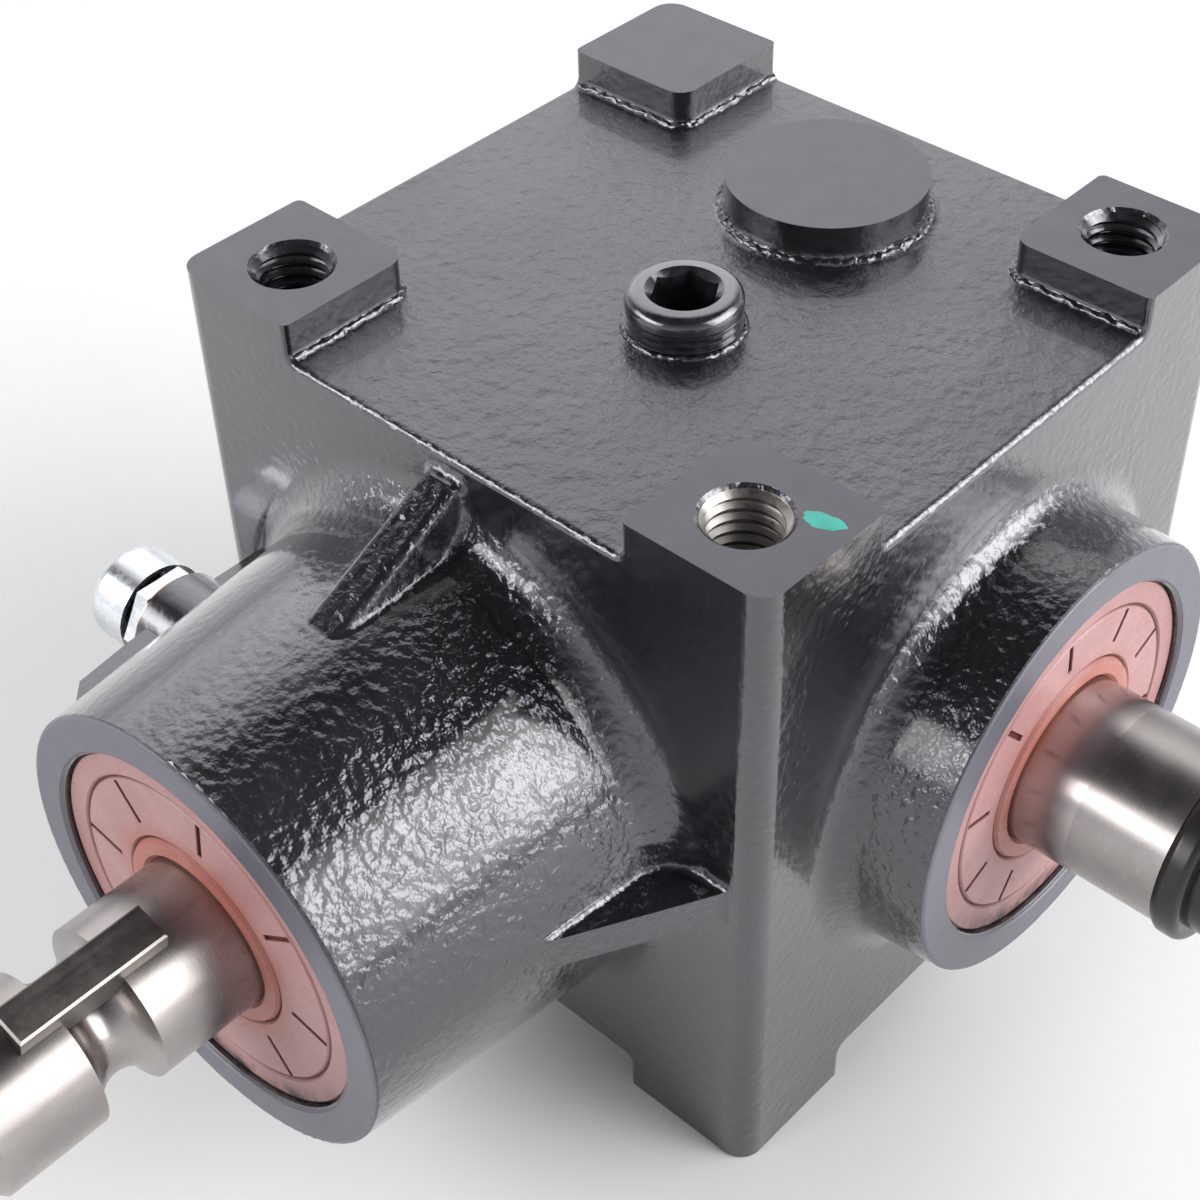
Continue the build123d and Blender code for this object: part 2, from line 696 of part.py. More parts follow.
def save_bearing(name, frame, bore, width, ball, count, start):
    """Write the four nodes of one bearing that starts at a distance from the apex."""
    for part, shape in ball_bearing(bore, width, ball, count, start + width / 2).items():
        save(f"{name}_{part}", shape, frame)


def main():
    os.makedirs("parts", exist_ok=True)
    save("housing", housing())
    save("fill_plug", fill_plug())
    save("vent_body", vent_body(), vent_frame)
    save("vent_cap", vent_cap(), vent_frame)
    save("vent_washer", tube(vent_thread_radius + seat, washer_radius, vent_face, washer_thick), vent_frame)

    save("input_shaft", input_shaft(), input_frame)
    save("input_key", input_key(), input_frame)
    save("input_gear", miter_gear(rear_bearing_at - shim_thick), input_frame)
    save("input_gear_key", gear_key(), input_frame)
    save("input_gear_shim", tube(gear_bore + seat, collar_radius, rear_bearing_at - shim_thick, shim_thick),
         input_frame)
    save("input_gear_ring", shaft_ring(gear_bore, gear_front - shaft_ring_thick - 2 * seat), input_frame)
    save("input_spacer", tube(journal_radius + seat, spacer_radius, rear_bearing_at + bearing_width,
                              front_bearing_at - rear_bearing_at - bearing_width), input_frame)
    save("input_shaft_ring", shaft_ring(journal_radius, front_bearing_at + bearing_width), input_frame)
    save("input_bore_ring", bore_ring(input_ring_at), input_frame)
    save("input_shim", tube(bearing_radius - ring_stand, bearing_radius - seat,
                            input_ring_at - shim_thick, shim_thick), input_frame)
    save("input_seal", shaft_seal(input_radius, input_seal_slots, input_seal_turn, input_seal_at),
         input_frame)
    for name, start in (("rear_bearing", rear_bearing_at), ("front_bearing", front_bearing_at)):
        save_bearing(name, input_frame, journal_radius, bearing_width, ball_radius, ball_count, start)

    save("output_shaft", output_shaft(), output_frame)
    save("output_gear", half_tooth * miter_gear(gear_back), tail_frame)
    save("output_gear_key", half_tooth * gear_key(), tail_frame)
    save("output_gear_shim", tube(gear_bore + seat, collar_radius, gear_back, shim_thick), tail_frame)
    save("output_bore_ring", bore_ring(output_ring_at), output_frame)
    save("output_shim", tube(bearing_radius - ring_stand, bearing_radius - seat,
                             output_ring_at - shim_thick, shim_thick), output_frame)
    save("output_seal", shaft_seal(output_radius, output_seal_slots, output_seal_turn, output_seal_at),
         output_frame)
    save("shaft_end_cap", shaft_end_cap(), output_frame)
    save_bearing("outer_bearing", output_frame, journal_radius, bearing_width, ball_radius, ball_count,
                 outer_bearing_at)
    save_bearing("tail_bearing", output_frame, tail_journal_radius, tail_bearing_width, tail_ball_radius,
                 tail_ball_count, tail_bearing_at)


main()
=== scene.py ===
import json
import math

import bpy
from mathutils import Matrix, Vector


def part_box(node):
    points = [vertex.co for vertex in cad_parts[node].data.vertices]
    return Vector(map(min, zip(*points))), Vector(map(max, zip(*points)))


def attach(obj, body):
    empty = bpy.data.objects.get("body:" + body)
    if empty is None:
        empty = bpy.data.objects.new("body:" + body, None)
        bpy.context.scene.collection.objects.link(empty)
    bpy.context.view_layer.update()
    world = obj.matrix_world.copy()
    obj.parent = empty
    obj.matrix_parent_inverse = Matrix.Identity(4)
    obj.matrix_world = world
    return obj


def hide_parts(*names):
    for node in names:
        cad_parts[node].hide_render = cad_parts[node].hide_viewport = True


bl_info = {
    "name": "Mower deck gearbox",
    "version": (1, 0, 0),
    "blender": (4, 5, 0),
    "location": "3D View > Sidebar > Gearbox",
    "description": "Dresses the right-angle gearbox with threads, filler plug, beads, marks and finishes",
    "category": "Object",
}

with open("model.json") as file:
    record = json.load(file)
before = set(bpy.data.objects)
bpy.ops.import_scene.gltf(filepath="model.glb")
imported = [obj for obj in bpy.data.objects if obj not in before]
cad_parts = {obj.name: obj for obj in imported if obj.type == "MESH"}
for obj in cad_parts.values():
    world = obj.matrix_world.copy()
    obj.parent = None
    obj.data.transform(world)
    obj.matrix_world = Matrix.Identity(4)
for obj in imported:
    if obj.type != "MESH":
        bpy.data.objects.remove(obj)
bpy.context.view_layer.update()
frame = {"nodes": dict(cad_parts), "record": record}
nodes = frame["nodes"]

# Sizes carried over from the solids, in metres
AXIS_HEIGHT = 0.062
TOP = 0.124
TOP_FACE = 0.1175
SNOUT_END = -0.112
BOSS_END = 0.0742
BOLT_AT = 0.045
BOLT_DEPTH = 0.018
PLUG_AT = (0.0043, -0.0107)
PLUG_THREAD = 0.0084
HALF_X = 0.05825
HALF_Y = 0.0569
PAD_SIDE = 0.025
PAD_CORNER = 0.0035
BEAD_INSET = 0.0010
DISC_RADIUS = 0.0166
DISC_Y = 0.029
BAND_END = 0.0832
SEAL_LIP_END = 0.0170
SEAL_STEP = 0.0262
SEAL_SLOT_END = 0.0299
SEAL_EDGE = 0.03045
SEAL_SLOT_FLOOR = -0.00172

# Cutting tools stand this far past what they cut
CLEAR = 0.001

# Vertices closer than this become one
MERGE = 1e-6


# Shader maths
class Value:
    """A shader output that adds a Math node for each operator used on it."""

    def __init__(self, finish, socket):
        self.finish = finish
        self.socket = socket

    def math(self, operation, *others):
        inputs = {0: self, **dict(enumerate(others, 1))}
        return self.finish.node("ShaderNodeMath", {"operation": operation}, inputs)

    def clamped(self):
        return self.finish.node("ShaderNodeClamp", {}, {0: self})

    def __add__(self, other):
        return self.math("ADD", other)

    def __mul__(self, other):
        return self.math("MULTIPLY", other)

    def __sub__(self, other):
        return self.math("SUBTRACT", other)

    def __rsub__(self, other):
        return self.finish.node("ShaderNodeMath", {"operation": "SUBTRACT"}, {0: other, 1: self})

    def __abs__(self):
        return self.math("ABSOLUTE")

    __radd__ = __add__
    __rmul__ = __mul__


class Finish:
    """One node material with a Principled shader."""

    def __init__(self, name, **fixed):
        self.material = bpy.data.materials.new(name)
        self.material.use_nodes = True
        self.tree = self.material.node_tree
        self.tree.nodes.clear()
        self.output = self.tree.nodes.new("ShaderNodeOutputMaterial")
        self.shader = self.tree.nodes.new("ShaderNodeBsdfPrincipled")
        self.tree.links.new(self.shader.outputs[0], self.output.inputs[0])
        self.place = self.node("ShaderNodeTexCoord", output="Object")
        self.set(**fixed)

    def node(self, kind, settings=None, inputs=None, output=0):
        made = self.tree.nodes.new(kind)
        for key, value in (settings or {}).items():
            setattr(made, key, value)
        for key, value in (inputs or {}).items():
            if isinstance(value, Value):
                self.tree.links.new(value.socket, made.inputs[key])
            else:
                made.inputs[key].default_value = value
        return Value(self, made.outputs[output])

    def set(self, **values):
        for key, value in values.items():
            name = key.replace("_", " ").title().replace("Ior", "IOR")
            if isinstance(value, Value):
                self.tree.links.new(value.socket, self.shader.inputs[name])
            elif isinstance(value, tuple):
                self.shader.inputs[name].default_value = (*value, 1)
            else:
                self.shader.inputs[name].default_value = value
        return self

    def stretched(self, x, y, z):
        """Object coordinates scaled by direction."""
        return self.node("ShaderNodeMapping", {}, {"Vector": self.place, "Scale": (x, y, z)})

    def noise(self, scale, detail=2.0, roughness=0.5, vector=None):
        inputs = {"Vector": vector or self.place, "Scale": scale, "Detail": detail, "Roughness": roughness}
        return self.node("ShaderNodeTexNoise", {}, inputs)

    def cells(self, scale, smooth):
        return self.node("ShaderNodeTexVoronoi", {"feature": "SMOOTH_F1"},
                         {"Vector": self.place, "Scale": scale, "Smoothness": smooth})

    def axes(self):
        made = self.tree.nodes.new("ShaderNodeSeparateXYZ")
        self.tree.links.new(self.place.socket, made.inputs[0])
        return [Value(self, made.outputs[i]) for i in range(3)]

    def facing(self):
        """Parts of the true normal along X, Y and Z."""
        made = self.tree.nodes.new("ShaderNodeSeparateXYZ")
        normal = self.node("ShaderNodeNewGeometry", output="Normal")
        self.tree.links.new(normal.socket, made.inputs[0])
        return [Value(self, made.outputs[i]) for i in range(3)]

    def ramp(self, value, low, high, start=0.0, end=1.0):
        """Smooth step from start to end as a value goes from low to high."""
        return self.node("ShaderNodeMapRange", {"interpolation_type": "SMOOTHSTEP"},
                         {0: value, 1: low, 2: high, 3: start, 4: end})

    def mix(self, share, first, second):
        made = self.tree.nodes.new("ShaderNodeMix")
        made.data_type = "RGBA"
        for index, value in ((0, share), (6, first), (7, second)):
            if isinstance(value, Value):
                self.tree.links.new(value.socket, made.inputs[index])
            else:
                made.inputs[index].default_value = (*value, 1) if isinstance(value, tuple) else value
        return Value(self, made.outputs[2])

    def bump(self, height, distance, strength=1.0, under=None):
        inputs = {"Height": height, "Distance": distance, "Strength": strength}
        if under:
            inputs["Normal"] = under
        return self.node("ShaderNodeBump", {}, inputs)


def axis_distance(across, z):
    """Distance from the level axis of a shaft, from a place's part across it and its height."""
    up = z - AXIS_HEIGHT
    return (across * across + up * up).math("SQRT")


# Finishes
def casting_paint(settings):
    """Gloss black paint, lumpy on the raw casting, smooth and greyer on machined faces."""
    f = Finish("casting_paint", coat_roughness=0.10, coat_ior=1.5, ior=settings.paint_ior,
               specular_tint=settings.paint_tint[:])
    x, y, z = f.axes()
    nx, ny, nz = f.facing()
    pad_top = f.ramp(z, TOP - 0.0006, TOP - 0.0002) * f.ramp(nz, 0.97, 0.99)
    pad_foot = f.ramp(z, 0.0002, 0.0006, 1.0, 0.0) * f.ramp(nz, -0.99, -0.97, 1.0, 0.0)
    snout_face = f.ramp(y, SNOUT_END + 0.0002, SNOUT_END + 0.0006, 1.0, 0.0)
    boss_face = f.ramp(x, BOSS_END - 0.0006, BOSS_END - 0.0002)
    machined = (pad_top + pad_foot + snout_face + boss_face).clamped()
    top_face = f.ramp(z, TOP_FACE - 0.003, TOP_FACE - 0.0005) * f.ramp(nz, 0.9, 0.98) * (1 - machined)
    flatness = abs(nx).math("MAXIMUM", abs(ny)).math("MAXIMUM", abs(nz))
    rounded = f.ramp(flatness, 0.94, 0.99, 1.0, 0.0) * f.ramp(y, -HALF_Y - 0.0111, -HALF_Y - 0.0071)
    rounded = rounded * f.ramp(abs(nz), 0.05, 0.30, 0.25, 1.0)
    on_snout = f.ramp(y, -HALF_Y - 0.0031, -HALF_Y - 0.0005, 1.0, 0.0)
    on_snout = on_snout * f.ramp(x, -0.014, 0.010, 0.22, 1.0)
    on_boss = f.ramp(x, HALF_X + 0.00025, HALF_X + 0.00225) * 0.8
    on_wall = f.ramp(nx, 0.6, 0.9) * 0.10 + 0.20
    raw = on_snout.math("MAXIMUM", on_boss).math("MAXIMUM", rounded * 0.9).math("MAXIMUM", on_wall)
    raw = raw * (1 - machined) * (1 - top_face)

    patchy = f.ramp(f.noise(38, 2.0, 0.5), 0.34, 0.60, 0.55, 1.0)
    lumps = f.cells(settings.lump_scale, 0.9)
    ripple = f.noise(settings.lump_scale * 0.9, 2.0, 0.5)
    fine = f.noise(settings.lump_scale * 2.6, 2.0, 0.5)
    broad = f.noise(140, 2.0, 0.5)
    relief = (lumps * 0.55 + ripple + fine * 0.07) * patchy + broad * 0.4
    under = f.bump(relief * raw, settings.lump_height, 1.0)
    skin = f.noise(260, 5.0, 0.68) + f.cells(420, 0.8) * 0.35
    under = f.bump(skin * top_face, 0.00070, 0.9, under)
    swirl = f.noise(90, 3.0, 0.6, f.stretched(1.0, 14.0, 1.0))
    grain = f.noise(1300, 3.0, 0.7) * 0.6 + swirl
    normal = f.bump(grain * machined, 0.00004, 0.5, under)

    dust = f.ramp(f.noise(34, 4.0, 0.65), 0.42, 0.72)
    base = f.mix(dust, settings.paint_colour[:], settings.paint_worn[:])
    satin = f.mix(f.noise(160, 3.0, 0.6), (0.034, 0.033, 0.040), (0.052, 0.050, 0.060))
    satin = f.mix((snout_face + boss_face).clamped() * 0.8, satin, (0.120, 0.116, 0.142))
    colour = f.mix(machined, base, satin)
    rough = f.ramp(f.noise(26, 3.0, 0.6), 0.35, 0.7, 0.16, 0.25) + top_face * 0.09
    rough = rough * (1 - machined) + machined * (f.noise(210, 3.0, 0.6) * 0.12 + 0.34)
    coat = (1 - top_face * 0.6) * (1 - machined)
    return f.set(base_color=colour, roughness=rough, coat_weight=coat, normal=normal)


def smooth_paint(settings):
    """The same paint on turned pieces."""
    f = Finish("plug_paint", coat_weight=1.0, coat_roughness=0.08, ior=settings.paint_ior,
               specular_tint=settings.paint_tint[:])
    wave = f.noise(420, 3.0, 0.55)
    colour = f.mix(f.ramp(wave, 0.4, 0.7), settings.paint_colour[:], settings.paint_worn[:])
    rough = f.ramp(wave, 0.3, 0.7, 0.12, 0.24)
    return f.set(base_color=colour, roughness=rough, normal=f.bump(wave, 0.00014, 0.6))


def seal_rubber(name, settings, along_y):
    """Brick-red rubber with black overspray low on the outer ring; the dark slot floors, the darker outer
    ring and its near-black outer edge are painted shade and shadow, and the redder rubber round the shaft is
    painted reflected light.
    """
    f = Finish(name, specular_ior_level=0.5)
    x, y, z = f.axes()
    across = x if along_y else y
    face = (y * -1.0 + SNOUT_END) if along_y else (x - BOSS_END)
    radius = axis_distance(across, z)
    depth = f.ramp(face, SEAL_SLOT_FLOOR, SEAL_SLOT_FLOOR + 0.00034, 1.0, 0.0)
    cloud = f.noise(95, 4.0, 0.6)
    fine = f.noise(1500, 2.0, 0.6)
    colour = f.mix(f.ramp(cloud, 0.3, 0.75), settings.seal_colour[:], settings.seal_light[:])
    # Painted reflected light: redder rubber round the shaft, standing in for light bounced between the lip
    # and the seal.
    lip_reflection = f.ramp(radius + cloud * 0.004, SEAL_LIP_END, SEAL_LIP_END + 0.0055, 0.8, 0.0)
    colour = f.mix(lip_reflection, colour, settings.seal_lip_reflection[:])
    # Painted shade: the outer ring darkened where the bore's recess shades it.
    colour = f.mix(f.ramp(radius, SEAL_STEP, SEAL_STEP + 0.0006, 0.0, 0.22), colour, settings.seal_rim_shade[:])
    # Painted shade: the slot floors darkened where the grooves lie in shadow.
    slot_shade = depth * f.ramp(radius, SEAL_SLOT_END, SEAL_SLOT_END + 0.0004, 1.0, 0.0)
    colour = f.mix(slot_shade, colour, (0.130, 0.034, 0.022))
    spray = f.ramp(z - AXIS_HEIGHT, -0.012, -0.029) * f.ramp(radius, SEAL_STEP, SEAL_STEP + 0.0040)
    spray = spray * f.ramp(f.noise(160, 4.0, 0.7), 0.33, 0.62)
    colour = f.mix(spray, colour, (0.020, 0.018, 0.020))
    # Painted shadow: the seal's outermost edge near black where the gap to the bore lies in shadow.
    edge = f.ramp(radius, SEAL_EDGE, SEAL_EDGE + 0.0004)
    colour = f.mix(edge * f.ramp(f.noise(210, 3.0, 0.6), 0.42, 0.6), colour, (0.030, 0.024, 0.024))
    rough = f.ramp(fine, 0.3, 0.7, 0.34, 0.5)
    return f.set(base_color=colour, roughness=rough, normal=f.bump(fine * 0.4 + cloud, 0.00008, 0.5))


def ground_steel(name, along_y, settings):
    """Ground shaft steel with fine rings round the axis, and a smoother band beside the output seal whose
    lighter, pinkish colour is a painted reflection of the seal.
    """
    f = Finish(name, metallic=1.0)
    x, y, z = f.axes()
    rings = f.stretched(6.0, 1400.0, 6.0) if along_y else f.stretched(1400.0, 6.0, 6.0)
    marks = f.noise(2.0, 4.0, 0.7, rings)
    coarse = f.noise(0.55, 3.0, 0.6, rings)
    cloud = f.noise(60, 4.0, 0.6)
    colour = f.mix(f.ramp(cloud, 0.3, 0.7), settings.steel_colour[:], settings.steel_light[:])
    colour = f.mix(f.ramp(marks, 0.5, 0.85, 0.0, 0.25), colour, (0.30, 0.28, 0.27))
    stain = f.ramp(f.noise(240, 4.0, 0.7), 0.62, 0.76, 0.0, 0.25)
    colour = f.mix(stain, colour, (0.24, 0.205, 0.19))
    rough = marks * 0.08 + 0.22 + f.ramp(cloud, 0.45, 0.7, 0.0, 0.08)
    if not along_y:
        # Smoother band beside the seal: its lower roughness is real, its lighter pinkish colour is a painted
        # reflection of the seal.
        polish_and_seal_reflection = f.ramp(x, BOSS_END - 0.002, BOSS_END)
        polish_and_seal_reflection = polish_and_seal_reflection * f.ramp(x, BAND_END - 0.0003, BAND_END + 0.0003, 1.0, 0.0)
        colour = f.mix(polish_and_seal_reflection * 0.6, colour, (0.52, 0.45, 0.43))
        rough = rough - polish_and_seal_reflection * 0.05
    return f.set(base_color=colour, roughness=rough, normal=f.bump(marks * 0.5 + coarse * 0.6, 0.000008, 0.5))


def bright_metal(name, colour, second, rough_low, rough_high, scale=300):
    """Metal with a mottled colour and a fine uneven surface."""
    f = Finish(name, metallic=1.0)
    cloud = f.noise(scale * 0.25, 4.0, 0.6)
    fine = f.noise(scale * 3, 3.0, 0.6)
    mixed = f.mix(f.ramp(cloud, 0.3, 0.7), colour, second)
    rough = f.ramp(cloud * 0.6 + fine * 0.4, 0.35, 0.65, rough_low, rough_high)
    return f.set(base_color=mixed, roughness=rough, normal=f.bump(fine + cloud, 0.00003, 0.6))


def key_steel():
    """Dark drawn key steel with lengthwise marks and a bright worn top edge."""
    f = Finish("key_steel", metallic=1.0)
    marks = f.noise(1.2, 3.0, 0.55, f.stretched(500.0, 12.0, 500.0))
    cloud = f.noise(300, 4.0, 0.65)
    colour = f.mix(f.ramp(marks * 0.3 + cloud * 0.7, 0.35, 0.65), (0.17, 0.155, 0.145), (0.24, 0.225, 0.21))
    nx, ny, _ = f.facing()
    edge = f.ramp(abs(abs(nx) - 0.72), 0.10, 0.22, 1.0, 0.0) * f.ramp(abs(ny), 0.2, 0.4, 1.0, 0.0)
    colour = f.mix(edge * 0.85, colour, (0.75, 0.71, 0.66))
    rough = f.ramp(marks + cloud * 0.5, 0.4, 1.0, 0.30, 0.44)
    return f.set(base_color=colour, roughness=rough, normal=f.bump(marks * 0.3 + cloud, 0.00001, 0.5))


def soft_cap():
    """Black moulded cap."""
    f = Finish("cap_black", specular_ior_level=0.5)
    grain = f.noise(900, 3.0, 0.6)
    cloud = f.noise(70, 3.0, 0.6)
    colour = f.mix(cloud, (0.010, 0.010, 0.012), (0.022, 0.022, 0.025))
    rough = f.ramp(cloud, 0.3, 0.7, 0.22, 0.36)
    return f.set(base_color=colour, roughness=rough, normal=f.bump(grain * 0.3 + cloud, 0.00006, 0.5))


def marking_paint(settings):
    """Streaky teal marking paint."""
    f = Finish("dab_paint", specular_ior_level=0.4)
    streak = f.noise(220, 3.0, 0.6)
    colour = f.mix(f.ramp(streak, 0.35, 0.7), settings.dab_colour[:], (0.06, 0.46, 0.38))
    rough = f.ramp(streak, 0.3, 0.7, 0.30, 0.5)
    return f.set(base_color=colour, roughness=rough, normal=f.bump(streak, 0.0001, 0.6))


# Bare metals by slot: name, two colours, least and most roughness, and the mottling's scale if it isn't 300
METALS = {
    "zinc": ("zinc_plate", (0.66, 0.69, 0.72), (0.80, 0.83, 0.86), 0.16, 0.34),
    "copper": ("copper_washer", (0.62, 0.33, 0.22), (0.80, 0.50, 0.38), 0.22, 0.4),
    "gear_steel": ("gear_steel", (0.20, 0.19, 0.185), (0.36, 0.35, 0.34), 0.22, 0.4, 420),
    "cage_steel": ("cage_steel", (0.50, 0.49, 0.47), (0.60, 0.59, 0.57), 0.25, 0.42),
    "bearing_steel": ("bearing_steel", (0.62, 0.62, 0.62), (0.74, 0.74, 0.75), 0.08, 0.18),
    "plain_steel": ("plain_steel", (0.42, 0.41, 0.40), (0.56, 0.55, 0.54), 0.22, 0.4),
    "spring_steel": ("spring_steel", (0.10, 0.10, 0.12), (0.17, 0.17, 0.20), 0.28, 0.42),
}


# Mesh helpers
def deselect():
    if bpy.context.object and bpy.context.object.mode != "OBJECT":
        bpy.ops.object.mode_set(mode="OBJECT")
    bpy.ops.object.select_all(action="DESELECT")


def only(piece):
    deselect()
    piece.select_set(True)
    bpy.context.view_layer.objects.active = piece


def modify(piece, kind, **settings):
    """Add one modifier and apply it."""
    only(piece)
    modifier = piece.modifiers.new(kind.title(), kind)
    for key, value in settings.items():
        setattr(modifier, key, value)
    bpy.ops.object.modifier_apply(modifier=modifier.name)


def settle(piece):
    """Move a piece's place into its mesh."""
    only(piece)
    bpy.ops.object.transform_apply(location=True, rotation=True, scale=True)


def finish_piece(piece, name, material, body, angle):
    piece.name = name
    piece.data.name = name
    piece.data.materials.clear()
    piece.data.materials.append(material)
    settle(piece)
    bpy.ops.object.shade_smooth_by_angle(angle=math.radians(angle))
    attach(piece, body)


def copied(piece):
    twin = piece.copy()
    twin.data = piece.data.copy()
    bpy.context.scene.collection.objects.link(twin)
    return twin


def turned(name, points, closed, rise, steps):
    """Carry a line of (radius, height) points once round the z axis, rising as it goes."""
    count = len(points)
    lines = [(i, (i + 1) % count) for i in range(count if closed else count - 1)]
    mesh = bpy.data.meshes.new(name)
    mesh.from_pydata([(radius, 0, z) for radius, z in points], lines, [])
    piece = bpy.data.objects.new(name, mesh)
    bpy.context.scene.collection.objects.link(piece)
    modify(piece, "SCREW", angle=math.tau, screw_offset=rise, steps=steps, render_steps=steps, iterations=1,
           use_merge_vertices=True, merge_threshold=MERGE)
    only(piece)
    bpy.ops.object.mode_set(mode="EDIT")
    bpy.ops.mesh.select_all(action="SELECT")
    bpy.ops.mesh.remove_doubles(threshold=MERGE)
    bpy.ops.object.mode_set(mode="OBJECT")
    return piece


def threaded_rod(root, crest, pitch, length):
    """Screw from z = 0 down to -length, made from one line of ridges carried round the axis, for cutting."""
    deselect()
    ridges = math.ceil(length / pitch) + 3
    flat = pitch / 8
    points = []
    for ridge in range(ridges):
        low = -length - pitch * 2 + ridge * pitch
        points += [(root, low), (root, low + flat), (crest, low + pitch / 2 - flat / 2),
                   (crest, low + pitch / 2 + flat / 2)]
    rod = turned("threaded_rod", points, False, pitch, 48)
    bpy.ops.object.mode_set(mode="EDIT")
    bpy.ops.mesh.select_all(action="SELECT")
    bpy.ops.mesh.bisect(plane_co=(0, 0, 0), plane_no=(0, 0, 1), use_fill=True, clear_outer=True)
    bpy.ops.mesh.select_all(action="SELECT")
    bpy.ops.mesh.bisect(plane_co=(0, 0, -length), plane_no=(0, 0, -1), use_fill=True, clear_outer=True)
    bpy.ops.mesh.select_all(action="SELECT")
    bpy.ops.mesh.normals_make_consistent(inside=False)
    bpy.ops.object.mode_set(mode="OBJECT")
    return rod


def ridged_ring(inner, root, crest, pitch, ridges):
    """Closed ring from z = 0 down, with ridges on its outside, turned from one profile."""
    deselect()
    flat = pitch / 8
    points = [(inner, 0.0)]
    for ridge in range(ridges):
        top = -ridge * pitch
        points += [(root, top), (crest, top - pitch / 2 + flat / 2), (crest, top - pitch / 2 - flat / 2),
                   (root, top - pitch + flat)]
    points += [(root, -ridges * pitch), (inner, -ridges * pitch)]
    ring = turned("ridged_ring", points, True, 0.0, 96)
    bpy.ops.object.mode_set(mode="EDIT")
    bpy.ops.mesh.select_all(action="SELECT")
    bpy.ops.mesh.normals_make_consistent(inside=False)
    bpy.ops.object.mode_set(mode="OBJECT")
    return ring


def cylinder(radius, top, bottom, sides=96):
    deselect()
    bpy.ops.mesh.primitive_cylinder_add(vertices=sides, radius=radius, depth=top - bottom,
                                        location=(0, 0, (top + bottom) / 2))
    piece = bpy.context.object
    settle(piece)
    return piece


def round_rim(piece, radius):
    """Round the upper rim of a turned piece that ends at z = 0."""
    only(piece)
    for vertex in piece.data.vertices:
        vertex.select = abs(vertex.co.z) < MERGE
    for edge in piece.data.edges:
        edge.select = all(piece.data.vertices[i].select for i in edge.vertices)
    for face in piece.data.polygons:
        face.select = False
    bpy.ops.object.mode_set(mode="EDIT")
    bpy.ops.mesh.select_mode(type="EDGE")
    bpy.ops.mesh.bevel(offset=radius, segments=7, affect="EDGES")
    bpy.ops.object.mode_set(mode="OBJECT")


def cut(piece, tool, operation="DIFFERENCE"):
    """Take a tool's shape away from a piece, or join it on, and remove the tool."""
    modify(piece, "BOOLEAN", object=tool, operation=operation, solver="EXACT")
    bpy.data.objects.remove(tool)


def cone(radius_low, radius_high, bottom, top, sides=96):
    deselect()
    bpy.ops.mesh.primitive_cone_add(vertices=sides, radius1=radius_low, radius2=radius_high,
                                    depth=top - bottom, location=(0, 0, (top + bottom) / 2))
    piece = bpy.context.object
    settle(piece)
    return piece


# Settings
class GearboxFinishes(bpy.types.PropertyGroup):
    """Colours and surface sizes of the gearbox."""

    paint_colour: bpy.props.FloatVectorProperty(
        name="Paint", description="Black of the casting's paint", subtype="COLOR",
        default=(0.0085, 0.0083, 0.0098))
    paint_worn: bpy.props.FloatVectorProperty(
        name="Paint, dusty", description="Paint where dust or overspray greys it", subtype="COLOR",
        default=(0.020, 0.0195, 0.0235))
    paint_ior: bpy.props.FloatProperty(
        name="Paint gloss", description="Index of refraction of the paint film", default=1.75, min=1.2,
        max=2.2)
    paint_tint: bpy.props.FloatVectorProperty(
        name="Paint sheen", description="Faint violet of the paint's reflections", subtype="COLOR",
        default=(0.92, 0.905, 1.0))
    lump_scale: bpy.props.FloatProperty(
        name="Lump scale", description="Lumps of the raw casting in each metre", default=640.0, min=50)
    lump_height: bpy.props.FloatProperty(
        name="Lump height", description="Height of the casting's lumps", subtype="DISTANCE", unit="LENGTH",
        default=0.00066)
    seal_colour: bpy.props.FloatVectorProperty(
        name="Seal", description="Main colour of the seals", subtype="COLOR", default=(0.38, 0.195, 0.190))
    seal_light: bpy.props.FloatVectorProperty(
        name="Seal, light", description="Paler patches of the seals", subtype="COLOR",
        default=(0.44, 0.245, 0.240))
    # Painted shade of the outer ring in the bore's recess.
    seal_rim_shade: bpy.props.FloatVectorProperty(
        name="Seal rim", description="Outer ring of the seals", subtype="COLOR", default=(0.33, 0.155, 0.152))
    # Painted reflected light: redder rubber round the shaft.
    seal_lip_reflection: bpy.props.FloatVectorProperty(
        name="Seal lip", description="Painted reflected red round the shaft", subtype="COLOR",
        default=(0.42, 0.125, 0.088))
    steel_colour: bpy.props.FloatVectorProperty(
        name="Shaft steel", description="Ground steel of the shafts", subtype="COLOR",
        default=(0.33, 0.305, 0.295))
    steel_light: bpy.props.FloatVectorProperty(
        name="Shaft steel, light", description="Brighter patches of the shafts", subtype="COLOR",
        default=(0.42, 0.39, 0.375))
    dab_colour: bpy.props.FloatVectorProperty(
        name="Paint dab", description="Teal marking paint on the near pad", subtype="COLOR",
        default=(0.035, 0.36, 0.29))


